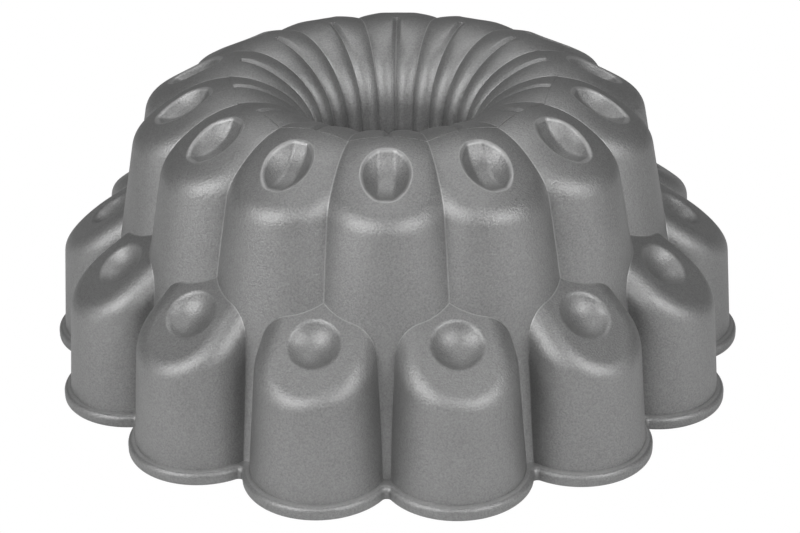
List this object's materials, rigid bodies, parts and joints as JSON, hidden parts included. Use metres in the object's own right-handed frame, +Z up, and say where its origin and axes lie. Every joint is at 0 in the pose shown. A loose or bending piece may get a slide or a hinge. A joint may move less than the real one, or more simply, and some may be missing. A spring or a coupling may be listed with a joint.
{
  "type": "tiered ring cake pan",
  "caption": "Cast ring cake pan with two tiers of rounded lobes and a fluted centre tube, shown upside down on its rim.",
  "frame": {"origin": "centre of the rim's flat face, on the pan's vertical axis, with the pan upside down as pictured", "axes": "+Z up along the centre tube from the rim to the crown; -Y runs through the middle of one column of the upper tier"},
  "size_m": [0.262, 0.2568, 0.1074],
  "materials": {
    "finish_metal": "satin",
    "cast_metal": "satin",
    "lining_metal": "satin"
  },
  "bodies": {
    "root": {"cast_shell": "cast_metal", "outer_finish": "finish_metal", "nonstick_lining": "lining_metal"}
  },
  "joints": []
}
